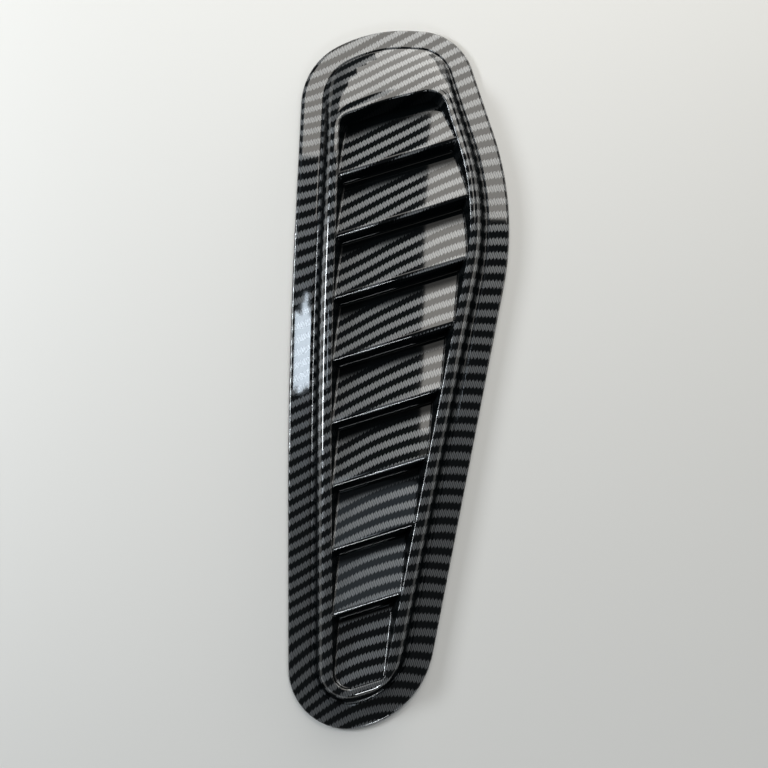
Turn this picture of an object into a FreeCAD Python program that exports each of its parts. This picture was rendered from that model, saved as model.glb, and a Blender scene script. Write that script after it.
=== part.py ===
"""Hood louver: one moulded panel with a flat bonding rim, a raised frame, a domed cowl and blind louvre steps.

+Y runs from the tail to the cowl, +Z points away from the hood, and the bonding face lies at Z = 0.
"""
import FreeCAD, Part
import math
import os

# Overall size and the heights of the section, in millimetres
PANEL_LENGTH = 400.0
PANEL_WIDTH = 124.0
CREST_HEIGHT = 15.2
RIM_HEIGHT = 2.6
RIM_EDGE_RADIUS = 1.6
WALL = 2.2

# Rim corners: how far in from the side, how far in from the end, and the radius that rounds the corner
SIDE_BOW = 1.0
SIDE_BOW_RADIUS = 3100.0
COWL_LEFT_CORNER = (2.2, 20.0, 40.0)
COWL_TOP_CORNER = (44.7, -0.4, 80.0)
COWL_RIGHT_CORNER = (30.8, 0.8, 33.0)
BULGE_CORNER = (-5.2, 105.0, 180.0)
TAIL_RIGHT_CORNER = (44.7, 11.7, 52.0)
TAIL_LEFT_CORNER = (6.2, -12.4, 33.0)

# Width of the flat rim outside the groove, along the sides and at both ends
RIM_SIDE_WIDTH = 12.8
RIM_COWL_WIDTH = 11.4
RIM_TAIL_WIDTH = 13.8

# Raised frame: plan width from the groove to the opening, and how much it narrows towards the cowl
FRAME_LEFT_WIDTH = 12.0
FRAME_RIGHT_WIDTH = 11.0
FRAME_NARROWING = 2.0

# Opening: the arched cowl lip, the tail edge, the corner radii and the lean of its walls in degrees
COWL_LIP_DROP = 46.3
COWL_LIP_ANGLE = 18.0
COWL_LIP_ARCH = 7.0
COWL_LIP_RADIUS = 140.0
COWL_LIP_CROWN = -10.0
TAIL_EDGE_RISE = 30.4
OPENING_COWL_LEFT_RADIUS = 7.0
OPENING_COWL_RIGHT_RADIUS = 11.0
OPENING_BULGE_RADIUS = 150.0
OPENING_TAIL_RIGHT_RADIUS = 4.0
OPENING_TAIL_LEFT_RADIUS = 9.0
OPENING_DRAFT = 20.0
OPENING_EDGE_RADIUS = 1.0

# Louvre steps: spacing along Y, climb to the right, depth of a step and the rounding of its two edges
BLADE_PITCH = 35.4
BLADE_ANGLE = 18.6
BLADE_DEPTH = 9.0
LIP_DROP = 1.3
LIP_RADIUS = 2.0
FOOT_RADIUS = 1.5
RISER_DRAFT = 20.0

# Frame section: share of the side width, share of the cowl length and share of the rise at each station
FRAME_STATIONS = (
    (0.00, 0.00, 0.00),
    (0.09, 0.04, 0.05),
    (0.22, 0.22, 0.30),
    (0.38, 0.54, 0.68),
    (0.54, 0.79, 0.90),
    (0.70, 0.91, 0.985),
    (0.82, 0.955, 1.00),
)
# Share of the wall by which the hollow's sides stand further in, so that the steep sides keep one wall
HOLLOW_SIDE_SHARE = 0.6
# Largest share of a side that the arcs at its two ends may take up together
ARC_SHARE = 0.98


def point(x, y, z=0.0):
    return FreeCAD.Vector(x, y, z)


# Plan geometry

def crossing(line_a, line_b):
    """Point where two plan lines, each a pair of points, cross."""
    along = line_a[1] - line_a[0]
    other = line_b[1] - line_b[0]
    gap = line_b[0] - line_a[0]
    share = (gap.x * other.y - gap.y * other.x) / (along.x * other.y - along.y * other.x)
    return line_a[0] + along * share


def sides(corners):
    """Side lines of a closed outline; side number i runs from corner i to the next one."""
    return [(corners[i], corners[(i + 1) % len(corners)]) for i in range(len(corners))]


def corners_of(lines):
    """Corners of a closed outline from its side lines."""
    return [crossing(lines[i - 1], lines[i]) for i in range(len(lines))]


def inset_line(line, start_distance, end_distance=None):
    """Line moved to the right of its own direction, which is inwards on a clockwise outline."""
    along = (line[1] - line[0]).normalize()
    inwards = point(along.y, -along.x)
    if end_distance is None:
        end_distance = start_distance
    return (line[0] + inwards * start_distance, line[1] + inwards * end_distance)


def inset(corners, distances):
    """Corners of an outline whose sides are each moved inwards by their own distance."""
    return corners_of([inset_line(line, distance) for line, distance in zip(sides(corners), distances)])


def slanted_line(x, y, angle):
    """Plan line through a point that climbs to the right at an angle in degrees."""
    turn = math.radians(angle)
    return (point(x, y), point(x + math.cos(turn), y + math.sin(turn)))


def half_angles(points):
    """Half of the inner angle at each corner of a closed flat outline."""
    angles = []
    for i, here in enumerate(points):
        ahead = points[(i + 1) % len(points)] - here
        angles.append((points[i - 1] - here).getAngle(ahead) / 2)
    return angles


def fitted_radii(points, radii):
    """Corner radii, each limited so that the arcs at the two ends of a side fit into that side."""
    runs = [radius / math.tan(half) for radius, half in zip(radii, half_angles(points))]
    shares = []
    for i, here in enumerate(points):
        j = (i + 1) % len(points)
        side = points[j].distanceToPoint(here)
        shares.append(min(1.0, ARC_SHARE * side / max(runs[i] + runs[j], LIP_RADIUS)))
    return [radius * min(shares[i - 1], shares[i]) for i, radius in enumerate(radii)]


def rounded_wire(points, radii):
    """Closed flat wire through the points, each corner rounded by its own radius; radius 0 leaves it sharp."""
    count = len(points)
    radii = fitted_radii(points, radii)
    bends = []
    for i, half_angle in enumerate(half_angles(points)):
        here = points[i]
        back = (points[i - 1] - here).normalize()
        ahead = (points[(i + 1) % count] - here).normalize()
        run = radii[i] / math.tan(half_angle)
        reach = radii[i] / math.sin(half_angle) - radii[i]
        middle = here + (back + ahead).normalize() * reach
        bends.append((here + back * run, middle, here + ahead * run))
    edges = []
    for i in range(count):
        entry, middle, leave = bends[i]
        if radii[i] > 0:
            edges.append(Part.Arc(entry, middle, leave).toShape())
        edges.append(Part.LineSegment(leave, bends[(i + 1) % count][0]).toShape())
    return Part.Wire(edges)


def outline(corners, radii, height):
    """Rounded plan outline at one height."""
    return rounded_wire([point(corner.x, corner.y, height) for corner in corners], radii)


# Plan outlines, clockwise from the bowed left side: sides are left, cowl, cowl, right, right, tail, left
LEFT = -PANEL_WIDTH / 2
RIGHT = PANEL_WIDTH / 2
COWL_END = PANEL_LENGTH / 2
TAIL_END = -PANEL_LENGTH / 2

rim_corners = [
    point(LEFT - SIDE_BOW, 0.0),
    point(LEFT + COWL_LEFT_CORNER[0], COWL_END - COWL_LEFT_CORNER[1]),
    point(LEFT + COWL_TOP_CORNER[0], COWL_END - COWL_TOP_CORNER[1]),
    point(RIGHT - COWL_RIGHT_CORNER[0], COWL_END - COWL_RIGHT_CORNER[1]),
    point(RIGHT - BULGE_CORNER[0], COWL_END - BULGE_CORNER[1]),
    point(RIGHT - TAIL_RIGHT_CORNER[0], TAIL_END + TAIL_RIGHT_CORNER[1]),
    point(LEFT + TAIL_LEFT_CORNER[0], TAIL_END + TAIL_LEFT_CORNER[1]),
]
rim_radii = [
    SIDE_BOW_RADIUS,
    COWL_LEFT_CORNER[2],
    COWL_TOP_CORNER[2],
    COWL_RIGHT_CORNER[2],
    BULGE_CORNER[2],
    TAIL_RIGHT_CORNER[2],
    TAIL_LEFT_CORNER[2],
]
rim_widths = [
    RIM_SIDE_WIDTH,
    RIM_COWL_WIDTH,
    RIM_COWL_WIDTH,
    RIM_SIDE_WIDTH,
    RIM_SIDE_WIDTH,
    RIM_TAIL_WIDTH,
    RIM_SIDE_WIDTH,
]
groove_corners = inset(rim_corners, rim_widths)
groove_radii = [radius - RIM_SIDE_WIDTH for radius in rim_radii]
groove_sides = sides(groove_corners)

cowl_lip_y = COWL_END - COWL_LIP_DROP
lip_datum_y = cowl_lip_y - COWL_LIP_CROWN * math.tan(math.radians(COWL_LIP_ANGLE))
tail_edge_y = TAIL_END + TAIL_EDGE_RISE
opening_corners = corners_of([
    inset_line(groove_sides[0], FRAME_LEFT_WIDTH, FRAME_LEFT_WIDTH - FRAME_NARROWING),
    slanted_line(COWL_LIP_CROWN, cowl_lip_y, COWL_LIP_ANGLE + COWL_LIP_ARCH / 2),
    slanted_line(COWL_LIP_CROWN, cowl_lip_y, COWL_LIP_ANGLE - COWL_LIP_ARCH / 2),
    inset_line(groove_sides[3], FRAME_RIGHT_WIDTH - FRAME_NARROWING, FRAME_RIGHT_WIDTH),
    inset_line(groove_sides[4], FRAME_RIGHT_WIDTH),
    slanted_line(0.0, tail_edge_y, BLADE_ANGLE),
    inset_line(groove_sides[6], FRAME_LEFT_WIDTH),
])
opening_radii = [
    SIDE_BOW_RADIUS,
    OPENING_COWL_LEFT_RADIUS,
    COWL_LIP_RADIUS,
    OPENING_COWL_RIGHT_RADIUS,
    OPENING_BULGE_RADIUS,
    OPENING_TAIL_RIGHT_RADIUS,
    OPENING_TAIL_LEFT_RADIUS,
]


def frame_station(side_share, cowl_share, distance):
    """Outline part of the way from the groove to the opening, moved inwards by a distance."""
    shares = [side_share, cowl_share, cowl_share, side_share, side_share, side_share, side_share]
    steps = [far - near for near, far in zip(groove_corners, opening_corners)]
    lines = []
    for i, share in enumerate(shares):
        j = (i + 1) % len(shares)
        line = (groove_corners[i] + steps[i] * share, groove_corners[j] + steps[j] * share)
        lines.append(inset_line(line, distance))
    radii = [near + (far - near) * side_share - distance for near, far in zip(groove_radii, opening_radii)]
    return corners_of(lines), radii


# Solids that the panel is made from

def rim_solid():
    """Bonding rim: a flat plate with a rounded top edge."""
    plate = Part.Face(outline(rim_corners, rim_radii, 0.0)).extrude(point(0, 0, RIM_HEIGHT))
    top_edge = [edge for edge in plate.Edges if abs(edge.CenterOfMass.z - RIM_HEIGHT) < 1e-6]
    return plate.makeFillet(RIM_EDGE_RADIUS, top_edge)


def frame_solid(distance, drop, ruled):
    """Raised frame and cowl as one loft from the groove to the crest, moved inwards and down for the hollow."""
    wires = []
    for side_share, cowl_share, rise_share in FRAME_STATIONS:
        height = RIM_HEIGHT + (CREST_HEIGHT - RIM_HEIGHT) * rise_share - drop
        wires.append(outline(*frame_station(side_share, cowl_share, distance), height))
    return Part.makeLoft(wires, True, ruled)


def opening_column(growth):
    """Drafted column with the opening's outline at crest height, grown outwards by a distance."""
    lean = math.tan(math.radians(OPENING_DRAFT))
    wires = []
    for height in (0.0, CREST_HEIGHT + WALL):
        distance = (CREST_HEIGHT - height) * lean - growth
        corners = inset(opening_corners, [distance] * len(opening_corners))
        radii = [max(radius - distance, LIP_RADIUS) for radius in opening_radii]
        wires.append(outline(corners, radii, height))
    return Part.makeLoft(wires, True, True)


def riser_run():
    """Plan length of a riser, square to the lips."""
    return BLADE_DEPTH * math.tan(math.radians(RISER_DRAFT))


def space_above_blades(shift_along, shift_up, lip_radius, foot_radius):
    """Space above the louvre steps: one sawtooth profile, square to the lips, extruded along them."""
    turn = math.radians(BLADE_ANGLE)
    along_lips = point(math.cos(turn), math.sin(turn))
    across_lips = point(-math.sin(turn), math.cos(turn))
    lip_height = CREST_HEIGHT - LIP_DROP
    foot_height = lip_height - BLADE_DEPTH
    blade_count = round((lip_datum_y - tail_edge_y) / BLADE_PITCH)
    lips = [(lip_datum_y - BLADE_PITCH * i) * math.cos(turn) for i in range(blade_count)]
    lips.append(tail_edge_y * math.cos(turn))
    overrun = BLADE_PITCH / 2
    first_slope = BLADE_DEPTH / (lips[0] - riser_run() - lips[1])
    last_slope = BLADE_DEPTH / (lips[-2] - riser_run() - lips[-1])
    ceiling = CREST_HEIGHT + BLADE_PITCH

    profile = [(lips[0] + overrun, foot_height - (overrun + riser_run()) * first_slope, 0.0)]
    for lip in lips[1:-1]:
        profile.append((lip, lip_height, lip_radius))
        profile.append((lip - riser_run(), foot_height, foot_radius))
    profile.append((lips[-1] - overrun, lip_height + overrun * last_slope, 0.0))
    profile.append((lips[-1] - overrun, ceiling, 0.0))
    profile.append((lips[0] + overrun, ceiling, 0.0))

    start = along_lips * -PANEL_WIDTH
    points = [start + across_lips * (s + shift_along) + point(0, 0, z + shift_up) for s, z, _ in profile]
    wire = rounded_wire(points, [radius for _, _, radius in profile])
    return Part.Face(wire).extrude(along_lips * (2 * PANEL_WIDTH))


def blade_wall_shift():
    """Shift, across the lips and up, that puts each blade's underside one wall behind its face and riser."""
    draft = math.radians(RISER_DRAFT)
    pitch = BLADE_PITCH * math.cos(math.radians(BLADE_ANGLE))
    tilt = math.atan2(BLADE_DEPTH, pitch - riser_run())
    spread = math.cos(tilt - draft)
    along = WALL * (math.cos(tilt) - math.sin(draft)) / spread
    up = -WALL * (math.cos(draft) + math.sin(tilt)) / spread
    return along, up


def louvre_pocket():
    """What is cut out of the top: the opening, down to the blades."""
    return opening_column(0.0).common(space_above_blades(0.0, 0.0, LIP_RADIUS, FOOT_RADIUS))


def hollow_below():
    """What is cut out of the underside, one wall inside the frame, the pocket walls and the blades."""
    distance = HOLLOW_SIDE_SHARE * WALL
    mouth = Part.Face(outline(*frame_station(0.0, 0.0, distance), -WALL))
    hollow = frame_solid(distance, WALL, True).fuse(mouth.extrude(point(0, 0, RIM_HEIGHT)))
    pocket_shell = opening_column(WALL).common(space_above_blades(*blade_wall_shift(), 0.0, 0.0))
    return hollow.cut(pocket_shell)


def round_opening_edge(body):
    """Rounds the edge between the flat crest and the opening's walls."""
    crests = [
        face for face in body.Faces
        if isinstance(face.Surface, Part.Plane) and abs(face.CenterOfMass.z - CREST_HEIGHT) < 1e-6
    ]
    rims = [wire for face in crests for wire in face.Wires if not wire.isSame(face.OuterWire)]
    return body.makeFillet(OPENING_EDGE_RADIUS, [edge for wire in rims for edge in wire.Edges])


def louver_panel():
    """The whole moulding, with the middle of its bonding face at the origin."""
    body = rim_solid().fuse(frame_solid(0.0, 0.0, False)).cut(louvre_pocket())
    panel = round_opening_edge(body.Solids[0]).cut(hollow_below())
    middle = outline(rim_corners, rim_radii, 0.0).BoundBox.Center
    panel.translate(middle * -1)
    return panel.Solids[0]


os.makedirs("parts", exist_ok=True)
panel = louver_panel()
panel.exportStep("parts/louver_panel.step")
print("valid", panel.isValid(), "volume", round(panel.Volume), "mm3")
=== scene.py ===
"""Hood louver: a glossy carbon-look panel with a rim, a raised frame, a domed cowl and nine louvre steps."""
import math

import bpy
import numpy as np
from mathutils import Matrix, Vector


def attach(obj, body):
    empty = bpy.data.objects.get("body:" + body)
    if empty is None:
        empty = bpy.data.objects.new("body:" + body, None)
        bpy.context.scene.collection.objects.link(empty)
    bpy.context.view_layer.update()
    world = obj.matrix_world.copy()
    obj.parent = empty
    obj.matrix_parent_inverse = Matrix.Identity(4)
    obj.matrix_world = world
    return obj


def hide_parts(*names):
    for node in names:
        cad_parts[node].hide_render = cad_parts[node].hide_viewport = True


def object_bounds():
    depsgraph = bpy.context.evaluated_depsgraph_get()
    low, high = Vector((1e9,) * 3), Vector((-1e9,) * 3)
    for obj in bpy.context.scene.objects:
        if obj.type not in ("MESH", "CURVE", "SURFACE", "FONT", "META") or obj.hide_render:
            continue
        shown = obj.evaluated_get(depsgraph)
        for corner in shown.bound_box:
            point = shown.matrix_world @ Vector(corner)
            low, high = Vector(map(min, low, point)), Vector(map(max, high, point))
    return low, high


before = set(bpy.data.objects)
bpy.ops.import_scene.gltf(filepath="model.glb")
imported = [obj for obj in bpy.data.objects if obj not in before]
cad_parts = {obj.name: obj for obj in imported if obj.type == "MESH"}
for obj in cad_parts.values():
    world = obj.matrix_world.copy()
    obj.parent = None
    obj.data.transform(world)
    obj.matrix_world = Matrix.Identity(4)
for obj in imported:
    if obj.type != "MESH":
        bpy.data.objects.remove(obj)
cad_low, cad_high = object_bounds()

MM = 0.001

# Section heights and walls of the moulding, in metres
CREST_HEIGHT = cad_high.z
RIM_HEIGHT = 2.6 * MM
RIM_EDGE_RADIUS = 1.6 * MM
# Row on the flat rim just inside its rounded edge, which keeps the flat's shading level
RIM_SUPPORT = 1.4 * RIM_EDGE_RADIUS
WALL = 2.2 * MM
HOLLOW_GAP = 0.6 * WALL

# Sides of every outline, clockwise; side i starts at corner i
LEFT_UPPER, COWL_LEFT, COWL_RIGHT, RIGHT_UPPER, RIGHT_LOWER, TAIL, LEFT_LOWER = range(7)

# Plan corners of the rim, from the bow of the left side, and the radius that rounds each one
HALF_WIDTH = 62.0 * MM
HALF_LENGTH = 200.0 * MM
RIM_CORNERS = np.array([
    (-HALF_WIDTH - 1.0 * MM, 0.0),
    (-HALF_WIDTH + 2.2 * MM, HALF_LENGTH - 20.0 * MM),
    (-HALF_WIDTH + 44.7 * MM, HALF_LENGTH + 0.4 * MM),
    (HALF_WIDTH - 30.8 * MM, HALF_LENGTH - 0.8 * MM),
    (HALF_WIDTH + 5.2 * MM, HALF_LENGTH - 105.0 * MM),
    (HALF_WIDTH - 44.7 * MM, -HALF_LENGTH + 11.7 * MM),
    (-HALF_WIDTH + 6.2 * MM, -HALF_LENGTH - 12.4 * MM),
])
RIM_RADII = np.array([3100.0, 40.0, 80.0, 33.0, 180.0, 52.0, 33.0]) * MM
RIM_SIDE_WIDTH = 12.8 * MM
RIM_COWL_WIDTH = 11.4 * MM
RIM_TAIL_WIDTH = 13.8 * MM

# Raised frame between the groove and the opening; it narrows towards the cowl
FRAME_LEFT_WIDTH = 12.0 * MM
FRAME_RIGHT_WIDTH = 11.0 * MM
FRAME_NARROWING = 2.0 * MM
# Share of the side width, share of the cowl length and share of the rise at stations up the frame
FRAME_STATIONS = np.array([
    (0.00, 0.00, 0.00),
    (0.09, 0.04, 0.05),
    (0.22, 0.22, 0.30),
    (0.38, 0.54, 0.68),
    (0.54, 0.79, 0.90),
    (0.70, 0.91, 0.985),
    (0.82, 0.955, 1.00),
])
HOLLOW_STATIONS = FRAME_STATIONS[:-1]
# Fine groove line at the foot of the frame
GROOVE_WIDTH = 0.7 * MM
GROOVE_DEPTH = 0.35 * MM

# Opening with its arched cowl lip and drafted walls
COWL_LIP_Y = HALF_LENGTH - 46.3 * MM
COWL_LIP_CROWN = -10.0 * MM
COWL_LIP_ANGLE = math.radians(18.0)
COWL_LIP_ARCH = math.radians(7.0)
TAIL_EDGE_Y = -HALF_LENGTH + 30.4 * MM
OPENING_RADII = np.array([3100.0, 7.0, 140.0, 11.0, 150.0, 4.0, 9.0]) * MM
OPENING_DRAFT = math.radians(20.0)
OPENING_EDGE_RADIUS = 1.0 * MM

# Louvre steps
BLADE_PITCH = 35.4 * MM
BLADE_ANGLE = math.radians(18.6)
BLADE_DEPTH = 9.0 * MM
LIP_DROP = 1.3 * MM
LIP_RADIUS = 2.0 * MM
FOOT_RADIUS = 1.5 * MM
RISER_DRAFT = math.radians(20.0)
# Coves between the blades' ends and the pocket walls, and how far blades run into the walls and into the cowl
COVE_RADIUS = 1.0 * MM
BLADE_SINK = 1.0 * MM
COWL_SINK = 1.5 * MM
# Length of the painted shade below each riser's foot, up to full print, on each blade from the cowl to the
# tail
FOOT_SHADE_LENGTH = np.array([13.0, 11.5, 11.0, 10.5, 10.5, 10.0, 9.0, 7.0, 4.5]) * MM

# Edges that turn by more than this stay sharp
SHARP_ANGLE = math.radians(35.0)

# How finely the surfaces are divided
ARC_STEPS = 18
SIDE_STEPS = 44
EDGE_STEPS = 8
FRAME_STEPS = 10
HOLLOW_STEPS = 3
BLADE_ARC_STEPS = 12
BLADE_FACE_STEPS = 3
BLADE_SPAN_STEPS = 14


# Plan geometry on whole arrays

def unit(vectors):
    """Vectors divided by their lengths."""
    return vectors / np.linalg.norm(vectors, axis=-1, keepdims=True)


def cross(a, b):
    """Plan cross product, a_x b_y - a_y b_x."""
    return a[..., 0] * b[..., 1] - a[..., 1] * b[..., 0]


def corners_of(starts, ends):
    """Corner i is where side i-1 and side i cross: a point of side i-1 plus its direction times a share."""
    along = ends - starts
    before = np.roll(starts, 1, axis=-2)
    before_along = np.roll(along, 1, axis=-2)
    share = cross(starts - before, along) / cross(before_along, along)
    return before + before_along * share[..., None]


def moved_sides(starts, ends, start_distance, end_distance):
    """Side lines moved to the right of their direction, which is inwards on a clockwise outline."""
    along = unit(ends - starts)
    inwards = np.stack([along[..., 1], -along[..., 0]], axis=-1)
    return starts + inwards * start_distance[..., None], ends + inwards * end_distance[..., None]


def inset(corners, distances):
    """Outline whose sides are each moved inwards by their own distance."""
    return corners_of(*moved_sides(corners, np.roll(corners, -1, axis=-2), distances, distances))


def rounded(corners, radii, arc_steps, side_steps):
    """Outline of corner arcs with straight runs between them.

    An arc's centre = corner + bisector * r / sin(half angle), and its spoke turns as far as the sides do.
    """
    back = unit(np.roll(corners, 1, axis=-2) - corners)
    ahead = unit(np.roll(corners, -1, axis=-2) - corners)
    turn = np.arctan2(cross(-back, ahead), -np.sum(back * ahead, axis=-1))
    half_angle = (np.pi - np.abs(turn)) / 2
    entry = corners + back * (radii / np.tan(half_angle))[..., None]
    centre = corners + unit(back + ahead) * (radii / np.sin(half_angle))[..., None]
    spoke = (entry - centre)[..., None, :]
    angle = turn[..., None] * np.linspace(0.0, 1.0, arc_steps)
    arc = centre[..., None, :] + np.stack([
        spoke[..., 0] * np.cos(angle) - spoke[..., 1] * np.sin(angle),
        spoke[..., 0] * np.sin(angle) + spoke[..., 1] * np.cos(angle),
    ], axis=-1)
    share = np.linspace(0.0, 1.0, side_steps + 2)[1:-1, None]
    leave = arc[..., -1:, :]
    straight = leave + (np.roll(entry, -1, axis=-2)[..., None, :] - leave) * share
    run = np.concatenate([arc, straight], axis=-2)
    return run.reshape(run.shape[:-3] + (-1, 2))


def sloped_line(y, x, angle):
    """Two points of the plan line through (x, y) that climbs to the right at an angle."""
    return np.array([(x, y), (x + math.cos(angle), y + math.sin(angle))])


def opening_corners():
    """Corners of the opening: the groove's long sides moved inwards, an arched cowl lip and a tail edge."""
    far = np.roll(groove_corners, -1, axis=0)
    near_widths, far_widths = np.zeros((2, len(groove_corners)))
    near_widths[[LEFT_UPPER, LEFT_LOWER]] = far_widths[[LEFT_UPPER, LEFT_LOWER]] = FRAME_LEFT_WIDTH
    near_widths[[RIGHT_UPPER, RIGHT_LOWER]] = far_widths[[RIGHT_UPPER, RIGHT_LOWER]] = FRAME_RIGHT_WIDTH
    far_widths[LEFT_UPPER] -= FRAME_NARROWING
    near_widths[RIGHT_UPPER] -= FRAME_NARROWING
    starts, ends = moved_sides(groove_corners, far, near_widths, far_widths)
    cowl_left = sloped_line(COWL_LIP_Y, COWL_LIP_CROWN, COWL_LIP_ANGLE + COWL_LIP_ARCH / 2)
    cowl_right = sloped_line(COWL_LIP_Y, COWL_LIP_CROWN, COWL_LIP_ANGLE - COWL_LIP_ARCH / 2)
    tail = sloped_line(TAIL_EDGE_Y, 0.0, BLADE_ANGLE)
    drawn = [COWL_LEFT, COWL_RIGHT, TAIL]
    starts[drawn] = cowl_left[0], cowl_right[0], tail[0]
    ends[drawn] = cowl_left[1], cowl_right[1], tail[1]
    return corners_of(starts, ends)


rim_widths = np.full(len(RIM_CORNERS), RIM_SIDE_WIDTH)
rim_widths[[COWL_LEFT, COWL_RIGHT]] = RIM_COWL_WIDTH
rim_widths[TAIL] = RIM_TAIL_WIDTH
groove_corners = inset(RIM_CORNERS, rim_widths)
groove_radii = RIM_RADII - RIM_SIDE_WIDTH
pocket_corners = opening_corners()


def rim_outline(distances):
    """Rim outlines moved inwards by each of the distances; one row each."""
    corners = inset(np.tile(RIM_CORNERS, (len(distances), 1, 1)), distances[:, None])
    return rounded(corners, RIM_RADII - distances[:, None], ARC_STEPS, SIDE_STEPS)


def frame_outline(stations, distance):
    """Outlines part of the way from groove to opening, by each side's share, then inwards by a distance."""
    side_share, cowl_share = stations[:, :1], stations[:, 1:2]
    shares = np.repeat(side_share, len(groove_corners), axis=1)
    shares[:, [COWL_LEFT, COWL_RIGHT]] = cowl_share
    step = pocket_corners - groove_corners
    starts = groove_corners + step * shares[..., None]
    ends = np.roll(groove_corners, -1, axis=0) + np.roll(step, -1, axis=0) * shares[..., None]
    gap = np.full(1, distance)
    radii = groove_radii + (OPENING_RADII - groove_radii) * side_share - distance
    return rounded(corners_of(*moved_sides(starts, ends, gap, gap)), radii, ARC_STEPS, SIDE_STEPS)


def opening_outline(distances):
    """Opening outlines moved inwards by each of the distances; one row each."""
    corners = inset(np.tile(pocket_corners, (len(distances), 1, 1)), distances[:, None])
    radii = np.maximum(OPENING_RADII - distances[:, None], LIP_RADIUS)
    return rounded(corners, radii, ARC_STEPS, SIDE_STEPS)


def through_stations(stations, steps):
    """Catmull-Rom curve through the stations, level in rise at both ends."""
    first, last = 2 * stations[0] - stations[1], 2 * stations[-1] - stations[-2]
    first[2], last[2] = stations[1, 2], stations[-2, 2]
    points = np.vstack([first, stations, last])
    a, b, c, d = (points[i:len(points) - 3 + i, None] for i in range(4))
    t = np.linspace(0.0, 1.0, steps, endpoint=False)[:, None]
    curve = b + (c - a) * t / 2 + (2 * a - 5 * b + 4 * c - d) * t**2 / 2 + (3 * b - a - 3 * c + d) * t**3 / 2
    return np.vstack([curve.reshape(-1, 3), stations[-1:]])


def at_height(outlines, heights):
    """Outline rows in plan, (rows, columns, 2), each lifted to its own height."""
    heights = np.broadcast_to(heights[:, None], outlines.shape[:2])
    return np.concatenate([outlines, heights[..., None]], axis=-1)


# Louvre steps: s runs across the lips towards the cowl, t along them to the right

def across_and_along(plan):
    """Plan points turned into (s, t): s = y cos(a) - x sin(a), t = x cos(a) + y sin(a)."""
    x, y = plan[..., 0], plan[..., 1]
    return np.stack([
        y * math.cos(BLADE_ANGLE) - x * math.sin(BLADE_ANGLE),
        x * math.cos(BLADE_ANGLE) + y * math.sin(BLADE_ANGLE),
    ], axis=-1)


def draft_inset(heights):
    """How far the drafted pocket wall stands inside the opening's outline: (crest - z) tan(draft)."""
    return (CREST_HEIGHT - heights) * math.tan(OPENING_DRAFT)


def riser_run():
    """Plan length of a riser, square to the lips."""
    return BLADE_DEPTH * math.tan(RISER_DRAFT)


def lip_places():
    """s of the cowl's lip and of each blade's lip: one pitch apart, with the last at the tail edge."""
    datum = COWL_LIP_Y - COWL_LIP_CROWN * math.tan(COWL_LIP_ANGLE)
    count = round((datum - TAIL_EDGE_Y) / BLADE_PITCH)
    return np.append(datum - BLADE_PITCH * np.arange(count), TAIL_EDGE_Y) * math.cos(BLADE_ANGLE)


def step_profile():
    """Sawtooth (s, z) from cowl to tail: each lip drops down a drafted riser to a foot, and both are rounded.

    Two far corners close the line for the rounding and are cut off again. The rows at the tail end lie as
    close as the points of the opening's rounded corner there.
    """
    lip_height = CREST_HEIGHT - LIP_DROP
    foot_height = lip_height - BLADE_DEPTH
    cowl_lip, lips = lip_places()[0], lip_places()[1:]
    count = len(lips)
    start = cowl_lip - draft_inset(foot_height) + COWL_SINK
    end = lips[-1] - BLADE_SINK
    first_slope = BLADE_DEPTH / (cowl_lip - riser_run() - lips[0])
    last_slope = BLADE_DEPTH / (lips[-2] - riser_run() - lips[-1])
    tops = np.stack([lips[:-1], np.full(count - 1, lip_height)], axis=-1)
    feet = np.stack([lips[:-1] - riser_run(), np.full(count - 1, foot_height)], axis=-1)
    teeth = np.stack([tops, feet], axis=1).reshape(-1, 2)
    first = (start, lip_height - (start - lips[0]) * first_slope)
    last = (end, lip_height + BLADE_SINK * last_slope)
    closing = [(end, lip_height + BLADE_PITCH), (start, lip_height + BLADE_PITCH)]
    radii = np.concatenate([[0.0], np.tile([LIP_RADIUS, FOOT_RADIUS], count - 1), [0.0, 0.0, 0.0]])
    line = rounded(np.vstack([first, teeth, last, closing]), radii, BLADE_ARC_STEPS, BLADE_FACE_STEPS)
    spare = 3 * (BLADE_ARC_STEPS + BLADE_FACE_STEPS) - 1
    line = line[BLADE_ARC_STEPS - 1:-spare]
    corner_turn = np.linspace(np.pi / 2, 0.0, ARC_STEPS)
    corner_s = lips[-1] + draft_inset(lip_height) + OPENING_RADII[LEFT_LOWER] * (1 - np.cos(corner_turn))
    corner_rows = np.stack([corner_s, lip_height + (lips[-1] - corner_s) * last_slope], axis=-1)
    return np.vstack([line[line[:, 0] > corner_s[0]], corner_rows, line[-1:]])


def foot_shade_share(profile):
    """Distance of each profile point from the foot of the riser above it, over the length of that blade's
    painted shade.
    """
    upper_lips = lip_places()[:-1]
    below_riser = profile[:, :1] < upper_lips - riser_run() / 2
    blade = np.maximum(below_riser.sum(axis=1) - 1, 0)
    return (upper_lips[blade] - riser_run() - profile[:, 0]) / FOOT_SHADE_LENGTH[blade]


def underside_shift():
    """Shift across and up that sets a blade's underside one wall behind both its face and its riser."""
    pitch = BLADE_PITCH * math.cos(BLADE_ANGLE)
    tilt = math.atan2(BLADE_DEPTH, pitch - riser_run())
    spread = math.cos(tilt - RISER_DRAFT)
    across = WALL * (math.cos(tilt) - math.sin(RISER_DRAFT)) / spread
    up = -WALL * (math.cos(RISER_DRAFT) + math.sin(tilt)) / spread
    return np.array([across, up])


def crossing_along(boundary, across):
    """t where each row's line s = across meets its boundary, held at the tail and straight on at the cowl."""
    count = boundary.shape[1]
    after = np.clip((boundary[..., 0] < across[:, None]).sum(axis=1), 1, count - 1)
    rows = np.arange(len(boundary))
    near, far = boundary[rows, after - 1], boundary[rows, after]
    share = np.maximum((across - near[:, 0]) / (far[:, 0] - near[:, 0]), 0.0)
    return near[:, 1] + (far[:, 1] - near[:, 1]) * share


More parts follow.
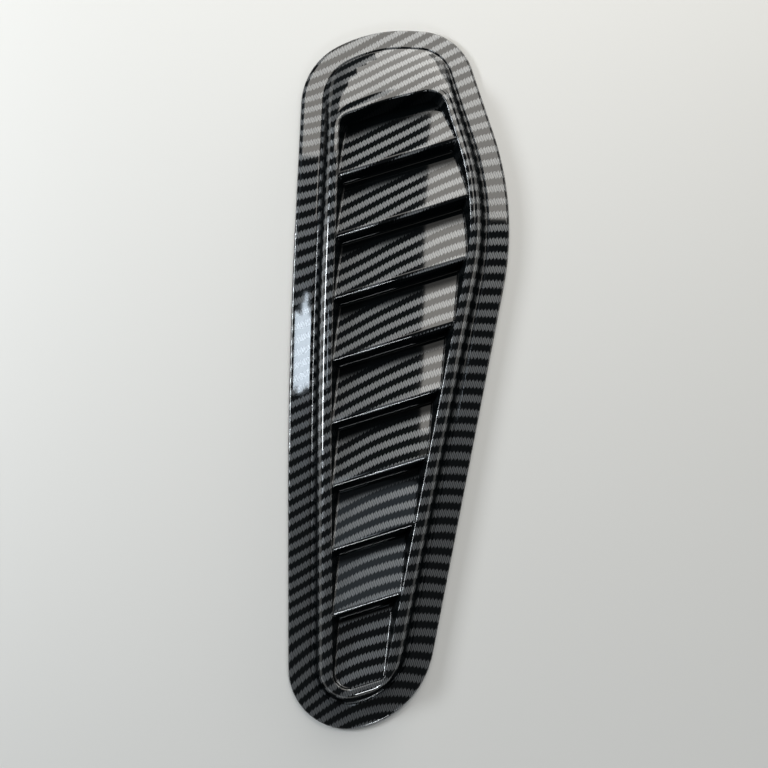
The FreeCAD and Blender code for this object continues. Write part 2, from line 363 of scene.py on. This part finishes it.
def wall_ends(profile):
    """t of the left and right pocket walls at each profile point, at that point's height."""
    walls = across_and_along(opening_outline(draft_inset(profile[:, 1])))
    block = ARC_STEPS + SIDE_STEPS
    left = np.concatenate([walls[:, LEFT_LOWER * block:], walls[:, :block]], axis=1)
    right = walls[:, RIGHT_UPPER * block + ARC_STEPS:TAIL * block + ARC_STEPS][:, ::-1]
    return crossing_along(left, profile[:, 0]), crossing_along(right, profile[:, 0])


def steps_surface():
    """Blade steps, one wall thick: the sawtooth carried along the lips, with a cove up each pocket wall.

    A cove's point is r (tan(turn / 2) - sin(lean)) inside the wall and r (1 - cos(lean)) off the face.
    In plan x = t cos(a) - s sin(a) and y = s cos(a) + t sin(a).
    """
    top = step_profile()
    under = top + underside_shift()
    slope = unit(np.gradient(top, axis=0))
    normal = np.stack([slope[:, 1], -slope[:, 0]], axis=-1)
    turn = np.pi / 2 - OPENING_DRAFT
    lean = np.linspace(turn, 0.0, EDGE_STEPS)
    inward = COVE_RADIUS * (math.tan(turn / 2) - np.sin(lean))
    lift = COVE_RADIUS * (1 - np.cos(lean))
    inward = np.concatenate([[-BLADE_SINK], inward])
    lift = np.concatenate([lift[:1], lift])
    left, right = (edge[:, None] for edge in wall_ends(top))
    middle = np.linspace(0.0, 1.0, BLADE_SPAN_STEPS + 2)[1:-1]
    span_start, span_end = left + inward[-1], right - inward[-1]
    along = np.concatenate([left + inward, span_start + (span_end - span_start) * middle,
                            (right - inward)[:, ::-1]], axis=1)
    raised = np.concatenate([lift, np.zeros(BLADE_SPAN_STEPS), lift[::-1]])
    face = top[:, None] + normal[:, None] * raised[:, None]
    back = np.broadcast_to(under[:, None], face.shape)
    section = np.concatenate([face, back[::-1]], axis=0)
    t = np.concatenate([along, along[::-1]], axis=0)
    s, z = section[..., 0], section[..., 1]
    x = t * math.cos(BLADE_ANGLE) - s * math.sin(BLADE_ANGLE)
    y = s * math.cos(BLADE_ANGLE) + t * math.sin(BLADE_ANGLE)
    return np.stack([x, y, z], axis=-1)


def wall_foot(distances_at_top, lowest):
    """Wall row with its own height in each column: the drafted wall's lines, cut where the blades end."""
    ends = opening_outline(distances_at_top + np.array([0.0, draft_inset(0.0)]))
    upper, lower = at_height(ends, np.array([CREST_HEIGHT, 0.0]))
    share = (CREST_HEIGHT - lowest)[:, None] / CREST_HEIGHT
    return (upper + (lower - upper) * share)[None]


def frame_surface():
    """Rim, frame and pocket wall: one closed section carried round the outline, row by row."""
    rim_turn = np.linspace(0.0, np.pi / 2, EDGE_STEPS)
    rim_edge = at_height(rim_outline(RIM_EDGE_RADIUS * (1 - np.cos(rim_turn))),
                         RIM_HEIGHT - RIM_EDGE_RADIUS * (1 - np.sin(rim_turn)))
    rim_outer = at_height(rim_outline(np.full(1, RIM_SUPPORT)), np.full(1, RIM_HEIGHT))
    rim_foot = at_height(rim_outline(np.zeros(1)), np.zeros(1))

    outside = through_stations(FRAME_STATIONS, FRAME_STEPS)
    rise = CREST_HEIGHT - RIM_HEIGHT
    slope = at_height(frame_outline(outside, 0.0), RIM_HEIGHT + rise * outside[:, 2])
    slope[0, :, 2] -= GROOVE_DEPTH
    rim_inner = at_height(np.concatenate([frame_outline(outside[:1], -2 * GROOVE_WIDTH),
                                          frame_outline(outside[:1], -GROOVE_WIDTH)]), np.full(2, RIM_HEIGHT))

    edge_turn = np.linspace(0.0, np.pi / 2 - OPENING_DRAFT, EDGE_STEPS)
    reach = OPENING_EDGE_RADIUS * math.tan((np.pi / 2 - OPENING_DRAFT) / 2)
    edge = at_height(opening_outline(OPENING_EDGE_RADIUS * np.sin(edge_turn) - reach),
                     CREST_HEIGHT - OPENING_EDGE_RADIUS * (1 - np.cos(edge_turn)))

    profile = step_profile() + underside_shift()
    wall_place = across_and_along(opening_outline(np.full(1, draft_inset(CREST_HEIGHT / 2))))[0, :, 0]
    lowest = np.interp(wall_place, profile[::-1, 0], profile[::-1, 1])
    wall_inside = wall_foot(0.0, lowest)
    wall_outside = wall_foot(-WALL, lowest)

    inside = through_stations(HOLLOW_STATIONS, HOLLOW_STEPS)[::-1]
    hollow = at_height(frame_outline(inside, HOLLOW_GAP), RIM_HEIGHT + rise * inside[:, 2] - WALL)
    hollow_top = hollow[:1, 0, 2]
    crest_under = at_height(opening_outline(draft_inset(hollow_top) - WALL), hollow_top)
    mouth = at_height(frame_outline(HOLLOW_STATIONS[:1], HOLLOW_GAP), np.zeros(1))
    return np.concatenate([rim_foot, rim_edge, rim_outer, rim_inner, slope, edge, wall_inside, wall_outside,
                           crest_under, hollow, mouth])


def grid_faces(rows, columns, closed_columns):
    """Quads of a grid whose rows close on themselves, and its columns too if closed_columns."""
    index = np.arange(rows * columns).reshape(rows, columns)
    index = np.vstack([index, index[:1]])
    if closed_columns:
        index = np.hstack([index, index[:, :1]])
    quads = np.stack([index[:-1, :-1], index[1:, :-1], index[1:, 1:], index[:-1, 1:]], axis=-1)
    return quads.reshape(-1, 4)


def end_faces(rows, columns):
    """Quads that close both ends of a slab: face row i to the back row that lies under it."""
    half = rows // 2
    near = np.arange(half - 1)
    far = rows - 1 - near
    quads = np.stack([far, far - 1, near + 1, near], axis=-1) * columns
    return np.concatenate([quads, quads[:, ::-1] + columns - 1])


def printed_panel():
    """The moulding's skin: frame ring and blade steps in one mesh, with each point's share out of the painted
    shade below the risers.

    The points are shifted in plan so that their low corner is the solid's.
    """
    ring = frame_surface()
    steps = steps_surface()
    ring_faces = grid_faces(ring.shape[0], ring.shape[1], True)
    step_faces = np.concatenate([grid_faces(steps.shape[0], steps.shape[1], False),
                                 end_faces(steps.shape[0], steps.shape[1])])
    points = np.concatenate([ring.reshape(-1, 3), steps.reshape(-1, 3)])
    points[:, :2] += np.array(cad_low[:2]) - ring[..., :2].reshape(-1, 2).min(axis=0)
    faces = np.concatenate([ring_faces, step_faces + ring.shape[0] * ring.shape[1]])
    mesh = bpy.data.meshes.new("printed_panel")
    mesh.from_pydata(points.tolist(), [], faces.tolist())
    mesh.shade_smooth()
    mesh.set_sharp_from_angle(angle=SHARP_ANGLE)
    # Each step point's share out of the painted shade below the riser above it; the ring has no painted shade
    face_foot_shade = foot_shade_share(step_profile())
    step_foot_shade = np.repeat(np.concatenate([face_foot_shade, face_foot_shade[::-1]]), steps.shape[1])
    film = np.concatenate([np.ones(ring.shape[0] * ring.shape[1]), step_foot_shade])
    mesh.attributes.new("foot_shade_share", "FLOAT", "POINT").data.foreach_set("value", film.astype(np.float32))
    panel = bpy.data.objects.new("printed_panel", mesh)
    bpy.context.collection.objects.link(panel)
    evening = panel.modifiers.new("even_normals", "WEIGHTED_NORMAL")
    evening.keep_sharp = True
    return panel


# Carbon-look print

# Sizes in millimetres: bands wave as height * cos(turn), level along a line that leans with the right rim
BAND_PITCH = 8.2
WAVE_HEIGHT = 30.0
WAVE_LENGTH = 280.0
LEVEL_X = 43.0
LEVEL_LEAN = 0.2
TOW_PITCH = 2.05
TOW_SLANT = 0.27
STRANDS_PER_TOW = 2.0
# Slow unevenness of the bands: its height in millimetres, and the noise's scale per metre and detail
WANDER_HEIGHT = 3.0
WANDER_SCALE = 22.0
WANDER_DETAIL = 1.0
# Half height of a light band, depth of its teeth and softness of their edge, as shares of the band pitch
BAND_HALF = 0.235
TOOTH_DEPTH = 0.12
TOOTH_SOFTNESS = 0.02
# Swirl of the bands round the left of the tail and of the cowl
SWIRL_X = -5.0
SWIRL_BEND = 0.004
TAIL_START_Y = -140.0
TAIL_FULL_Y = -195.0
COWL_START_Y = 120.0
COWL_FULL_Y = 185.0
# Film is stretched to plain black on steep walls: upward share of the normal at no print and at full print
BARE_TILT = 0.32
PRINTED_TILT = 0.55
# Share of the painted shade's length below a riser that stays plain black
FOOT_SHADE_CORE = 0.45
# Share of the clear coat that stays on bare film, and in the painted shade below the risers
WALL_COAT = 0.15
# Finish of the film: a strand's edge and middle, the black between the bands, and the tows' ripple
STRAND_EDGE_COLOUR = (0.027, 0.03, 0.033, 1)
STRAND_MIDDLE_COLOUR = (0.205, 0.213, 0.22, 1)
GROUND_COLOUR = (0.0015, 0.0022, 0.0026, 1)
TOW_METAL = 0.55
FILM_ROUGHNESS = 0.3
COAT_ROUGHNESS = 0.03
RIPPLE_STRENGTH = 0.25
RIPPLE_HEIGHT = 0.02 * MM


class NodeMaker:
    """Adds nodes to a node tree; a socket or a plain number can be given for each input."""

    def __init__(self, tree):
        self.tree = tree

    def feed(self, socket, value):
        """Links a socket, or sets a plain value."""
        if isinstance(value, bpy.types.NodeSocket):
            self.tree.links.new(value, socket)
        else:
            socket.default_value = value

    def math(self, operation, *values):
        """One step of arithmetic."""
        node = self.tree.nodes.new("ShaderNodeMath")
        node.operation = operation
        for socket, value in zip(node.inputs, values):
            self.feed(socket, value)
        return node.outputs[0]

    def ramp(self, value, low, high):
        """0 below low, 1 above high, smooth between."""
        node = self.tree.nodes.new("ShaderNodeMapRange")
        node.interpolation_type = "SMOOTHSTEP"
        self.feed(node.inputs["Value"], value)
        self.feed(node.inputs["From Min"], low)
        self.feed(node.inputs["From Max"], high)
        return node.outputs[0]

    def noise(self, vector, scale, detail):
        """Soft noise from 0 to 1."""
        node = self.tree.nodes.new("ShaderNodeTexNoise")
        self.feed(node.inputs["Vector"], vector)
        self.feed(node.inputs["Scale"], scale)
        self.feed(node.inputs["Detail"], detail)
        return node.outputs[0]

    def blend(self, share, low, high):
        """Colour low at share 0 and high at share 1; a Mix node's colours are inputs 6 and 7 and output 2."""
        node = self.tree.nodes.new("ShaderNodeMix")
        node.data_type = "RGBA"
        self.feed(node.inputs[0], share)
        self.feed(node.inputs[6], low)
        self.feed(node.inputs[7], high)
        return node.outputs[2]


def carbon_print_group():
    """Carbon-look print in plan: phase = (y + swirl + wander - wave) / pitch.

    A tow shows where the phase's fraction is within half a band of 1/2. Across the slanted tows the half band
    swings between narrow and wide, once for each tow, which makes the teeth.
    """
    group = bpy.data.node_groups.new("carbon_print", "ShaderNodeTree")
    group.interface.new_socket("Place", in_out="INPUT", socket_type="NodeSocketVector")
    group.interface.new_socket("Tow", in_out="OUTPUT", socket_type="NodeSocketFloat")
    group.interface.new_socket("Tow Shade", in_out="OUTPUT", socket_type="NodeSocketFloat")
    make = NodeMaker(group)
    place = group.nodes.new("NodeGroupInput").outputs["Place"]
    split = group.nodes.new("ShaderNodeSeparateXYZ")
    group.links.new(place, split.inputs[0])
    x = make.math("MULTIPLY", split.outputs[0], 1 / MM)
    y = make.math("MULTIPLY", split.outputs[1], 1 / MM)
    uneven = make.noise(place, WANDER_SCALE, WANDER_DETAIL)
    wander = make.math("MULTIPLY_ADD", uneven, WANDER_HEIGHT, -WANDER_HEIGHT / 2)

    ends = make.math("ADD", make.ramp(y, TAIL_START_Y, TAIL_FULL_Y), make.ramp(y, COWL_START_Y, COWL_FULL_Y))
    left_of_swirl = make.math("MINIMUM", make.math("SUBTRACT", x, SWIRL_X), 0.0)
    swirl = make.math("MULTIPLY", make.math("POWER", left_of_swirl, 2.0), SWIRL_BEND)
    lifted = make.math("ADD", make.math("MULTIPLY_ADD", swirl, ends, y), wander)
    off = make.math("SUBTRACT", make.math("MULTIPLY_ADD", y, LEVEL_LEAN, LEVEL_X), x)
    wave = make.math("COSINE", make.math("MULTIPLY", off, 2 * math.pi / WAVE_LENGTH))
    level = make.math("MULTIPLY_ADD", wave, -WAVE_HEIGHT, lifted)
    phase = make.math("DIVIDE", level, BAND_PITCH)
    inside = make.math("SUBTRACT", make.math("FRACT", phase), 0.5)
    slanted = make.math("MULTIPLY_ADD", inside, -TOW_SLANT * BAND_PITCH, x)
    turns = make.math("DIVIDE", slanted, TOW_PITCH)
    tooth = make.math("PINGPONG", turns, 0.5)
    half_band = make.math("MULTIPLY_ADD", tooth, 4 * TOOTH_DEPTH, BAND_HALF - TOOTH_DEPTH)
    tow = make.math("SUBTRACT", half_band, make.math("ABSOLUTE", inside))
    strand = make.math("PINGPONG", make.math("MULTIPLY", turns, STRANDS_PER_TOW), 0.5)

    out = group.nodes.new("NodeGroupOutput")
    group.links.new(make.ramp(tow, -TOOTH_SOFTNESS, TOOTH_SOFTNESS), out.inputs["Tow"])
    group.links.new(make.ramp(strand, 0.0, 0.5), out.inputs["Tow Shade"])
    return group


def printed_material():
    """Printed film under a clear coat: rough grey metal-like tows on near-black ground, with a faint ripple.

    Print and coat grow with the upward share of the normal, and on the blades with the share out of a painted
    shade below each riser's foot.
    """
    material = bpy.data.materials.new("printed_shell")
    material.use_nodes = True
    tree = material.node_tree
    make = NodeMaker(tree)
    shader = tree.nodes["Principled BSDF"]
    coordinates = tree.nodes.new("ShaderNodeTexCoord")
    weave = tree.nodes.new("ShaderNodeGroup")
    weave.node_tree = carbon_print_group()
    tree.links.new(coordinates.outputs["Object"], weave.inputs["Place"])
    facing = tree.nodes.new("ShaderNodeSeparateXYZ")
    tree.links.new(coordinates.outputs["Normal"], facing.inputs[0])
    # Painted shade: below each riser's foot the print darkens to plain black and the coat thins
    film = tree.nodes.new("ShaderNodeAttribute")
    film.attribute_name = "foot_shade_share"
    # Print shown: it fades on steep walls and in the painted shade below the risers
    print_past_walls_and_shade = make.math("MULTIPLY", make.ramp(facing.outputs[2], BARE_TILT, PRINTED_TILT),
                        make.ramp(film.outputs["Fac"], FOOT_SHADE_CORE, 1.0))
    tow = make.math("MULTIPLY", weave.outputs["Tow"], print_past_walls_and_shade)
    shade = weave.outputs["Tow Shade"]
    tow_colour = make.blend(shade, STRAND_EDGE_COLOUR, STRAND_MIDDLE_COLOUR)
    tree.links.new(make.blend(tow, GROUND_COLOUR, tow_colour), shader.inputs["Base Color"])
    tree.links.new(make.math("MULTIPLY", tow, TOW_METAL), shader.inputs["Metallic"])
    shader.inputs["Roughness"].default_value = FILM_ROUGHNESS
    shader.inputs["Specular IOR Level"].default_value = 0.0
    # The clear coat thins with the print, also in the painted shade below the risers
    tree.links.new(make.math("MULTIPLY_ADD", print_past_walls_and_shade, 1 - WALL_COAT, WALL_COAT), shader.inputs["Coat Weight"])
    shader.inputs["Coat Roughness"].default_value = COAT_ROUGHNESS
    bump = tree.nodes.new("ShaderNodeBump")
    bump.inputs["Strength"].default_value = RIPPLE_STRENGTH
    bump.inputs["Distance"].default_value = RIPPLE_HEIGHT
    tree.links.new(tow, bump.inputs["Height"])
    tree.links.new(bump.outputs[0], shader.inputs["Normal"])
    return material


# Stage: pale table, lamps and camera, in metres

TABLE_HALF = 3.0
TABLE_DROP = 0.05 * MM
TABLE_COLOUR = (0.65, 0.652, 0.64, 1)
TABLE_ROUGHNESS = 0.55

WARM_WHITE = (1.0, 0.968, 0.91)
COOL_WHITE = (0.93, 0.97, 1.0)
PALE_BLUE = (0.78, 0.89, 1.0)
CEILING_BLUE = (0.75, 0.88, 1.0)
ROOM_COLOUR = (0.9, 0.95, 1.0, 1)
ROOM_LIGHT = 0.09

# Overhead card, in strips: left, right, near and far edge
CARD_HEIGHT = 0.9
CARD_LIGHT = 4.6
OVERHEAD_STRIPS = (
    (0.1, 0.35, 0.308, 0.388),
    (-0.1385, 0.35, 0.388, 0.6),
    (-0.1455, 0.35, 0.6, 0.75),
    (-0.1485, 0.35, 0.75, 0.9),
    (-0.153, 0.35, 0.9, 1.22),
    (-0.85, 0.9, 1.22, 1.9),
)
# Card that stands beyond the cowl, in strips: left, lower and upper edge
COWL_CARD_RIGHT = 2.4
COWL_CARD_Y = 1.9
COWL_STRIPS = (
    (-0.25, 0.01, 0.4),
    (-0.34, 0.4, 0.5),
    (-0.45, 0.5, 0.6),
    (-0.555, 0.6, 0.7),
    (-0.66, 0.7, 0.8),
    (-0.77, 0.8, 0.9),
)
# Single lamps: name, middle, aim, size, radiance and colour
SINGLE_LAMPS = (
    ("right_card", (COWL_CARD_RIGHT, 0.9, 0.46), (0.0, 0.9, 0.46), (2.0, 0.88), CARD_LIGHT / 2, WARM_WHITE),
    ("left_window", (-0.9, 0.15, 0.46), (-0.04, 0.15, 0.0), (0.34, 0.145), 47.0, COOL_WHITE),
    ("tail_lamp", (0.34, -1.1, 0.475), (0.0, -0.05, 0.0), (0.24, 0.1), 50.0, COOL_WHITE),
    ("ceiling_patch", (-0.24, 0.37, CARD_HEIGHT), (-0.24, 0.37, 0.0), (0.2, 0.3), 0.55, CEILING_BLUE),
)
# High lamp over the left rim, in strips from the left: near and far end
RIM_LAMP_HEIGHT = 2 * CARD_HEIGHT
RIM_LAMP_LIGHT = 19.0
RIM_STRIP_LEFT = -0.196
RIM_STRIP_WIDTH = 0.005
RIM_STRIPS = (
    (0.164, 0.325), (0.172, 0.32), (0.158, 0.318), (0.16, 0.345), (0.168, 0.365), (0.175, 0.335),
    (0.168, 0.316), (0.176, 0.322), (0.17, 0.342), (0.162, 0.32), (0.17, 0.318),
)

# Camera: place, target, roll, and focal length and image side in pixels
CAMERA_PLACE = Vector((-6.2, -81.1, 696.2)) * MM
CAMERA_TARGET = Vector((-8.0, -8.0, 0.0)) * MM
CAMERA_ROLL = math.radians(1.4)
FOCAL_PIXELS = 1230.0
IMAGE_PIXELS = 768.0


def floor():
    """Pale table under the panel, larger than the view."""
    square = np.array([(-1, -1, 0), (1, -1, 0), (1, 1, 0), (-1, 1, 0)]) * TABLE_HALF
    mesh = bpy.data.meshes.new("floor")
    mesh.from_pydata(square.tolist(), [], [(0, 1, 2, 3)])
    table = bpy.data.objects.new("floor", mesh)
    table.location.z = cad_low.z - TABLE_DROP
    bpy.context.collection.objects.link(table)
    material = bpy.data.materials.new("pale_table")
    material.use_nodes = True
    shader = material.node_tree.nodes["Principled BSDF"]
    shader.inputs["Base Color"].default_value = TABLE_COLOUR
    shader.inputs["Roughness"].default_value = TABLE_ROUGHNESS
    mesh.materials.append(material)


def area_lamp(name, centre, toward, size, radiance, colour):
    """Rectangular lamp of a given radiance: power = pi * area * radiance."""
    data = bpy.data.lights.new(name, "AREA")
    data.shape = "RECTANGLE"
    data.size, data.size_y = size
    data.energy = math.pi * size[0] * size[1] * radiance
    data.color = colour
    lamp = bpy.data.objects.new(name, data)
    lamp.location = centre
    lamp.rotation_euler = (Vector(toward) - Vector(centre)).to_track_quat("-Z", "Y").to_euler()
    bpy.context.collection.objects.link(lamp)


def lamps():
    """Warm cards overhead, beyond the cowl and on the right, a window on the left and a lamp beyond the tail.

    A high lamp shows in the left rim, a faint patch of ceiling in the lower blades, and the room is dim.
    """
    for left, right, near, far in OVERHEAD_STRIPS:
        x, y = (left + right) / 2, (near + far) / 2
        size = (right - left, far - near)
        area_lamp("overhead_card", (x, y, CARD_HEIGHT), (x, y, 0.0), size, CARD_LIGHT, WARM_WHITE)
    for left, low, high in COWL_STRIPS:
        x, z = (left + COWL_CARD_RIGHT) / 2, (low + high) / 2
        size = (COWL_CARD_RIGHT - left, high - low)
        area_lamp("cowl_card", (x, COWL_CARD_Y, z), (x, 0.0, z), size, CARD_LIGHT, WARM_WHITE)
    for lamp in SINGLE_LAMPS:
        area_lamp(*lamp)
    for strip, (near, far) in enumerate(RIM_STRIPS):
        x, y = RIM_STRIP_LEFT + strip * RIM_STRIP_WIDTH, (near + far) / 2
        size = (RIM_STRIP_WIDTH, far - near)
        area_lamp("rim_lamp", (x, y, RIM_LAMP_HEIGHT), (x, y, 0.0), size, RIM_LAMP_LIGHT, PALE_BLUE)
    world = bpy.data.worlds.new("dim_room")
    world.use_nodes = True
    background = world.node_tree.nodes["Background"]
    background.inputs["Color"].default_value = ROOM_COLOUR
    background.inputs["Strength"].default_value = ROOM_LIGHT
    bpy.context.scene.world = world


def camera():
    """Camera over the tail, nearly straight down, with right and up turned about the line of sight."""
    data = bpy.data.cameras.new("camera")
    data.lens = data.sensor_width * FOCAL_PIXELS / IMAGE_PIXELS
    ahead = (CAMERA_TARGET - CAMERA_PLACE).normalized()
    level = ahead.cross(Vector((0, 1, 0))).normalized()
    rise = level.cross(ahead)
    right = level * math.cos(CAMERA_ROLL) + rise * math.sin(CAMERA_ROLL)
    up = rise * math.cos(CAMERA_ROLL) - level * math.sin(CAMERA_ROLL)
    view = bpy.data.objects.new("camera", data)
    view.matrix_world = Matrix.Translation(CAMERA_PLACE) @ Matrix((right, up, -ahead)).transposed().to_4x4()
    bpy.context.collection.objects.link(view)
    bpy.context.scene.camera = view


panel = printed_panel()
panel.data.materials.append(printed_material())
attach(panel, "root")
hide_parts("louver_panel")
floor()
lamps()
camera()
bpy.context.scene.view_settings.view_transform = "Standard"
